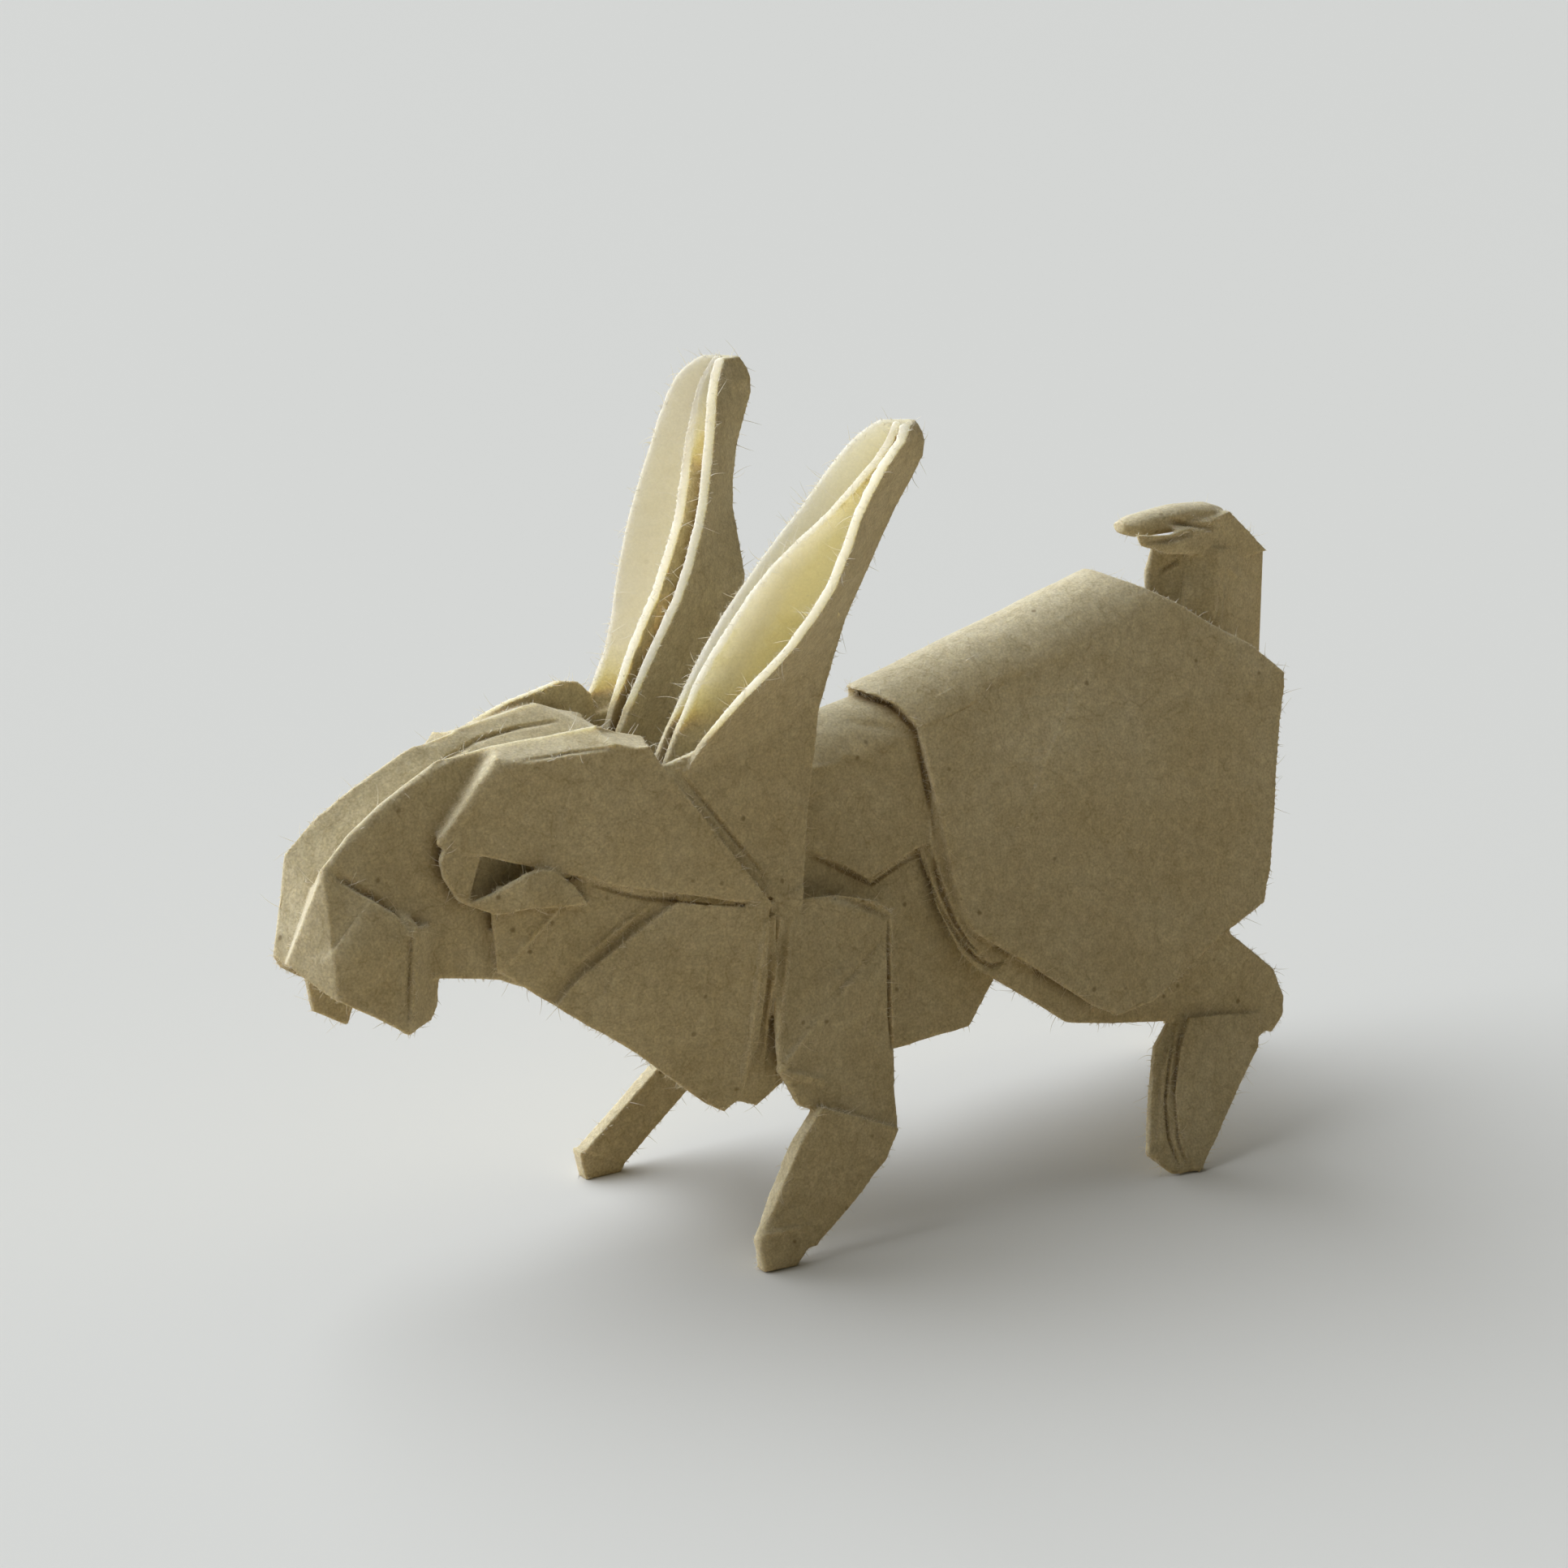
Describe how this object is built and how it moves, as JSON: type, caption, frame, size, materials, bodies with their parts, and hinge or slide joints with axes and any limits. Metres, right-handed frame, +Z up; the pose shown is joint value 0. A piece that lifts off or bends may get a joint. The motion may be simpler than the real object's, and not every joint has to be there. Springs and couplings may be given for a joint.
{
  "type": "origami rabbit",
  "caption": "Walking rabbit folded from one square of soft cream handmade paper, with upright pleated ears, lowered head, tucked legs and a curled tail.",
  "frame": {"origin": "middle of the bounding box, on the floor that the feet stand on", "axes": "+X towards the rump, so the nose points to -X; -Y is the rabbit's left side; +Z is up"},
  "size_m": [0.0754, 0.0242, 0.0521],
  "materials": {
    "paper": "soft matt handmade paper, cream"
  },
  "bodies": {
    "root": {"folded_rabbit": "paper"}
  },
  "joints": []
}
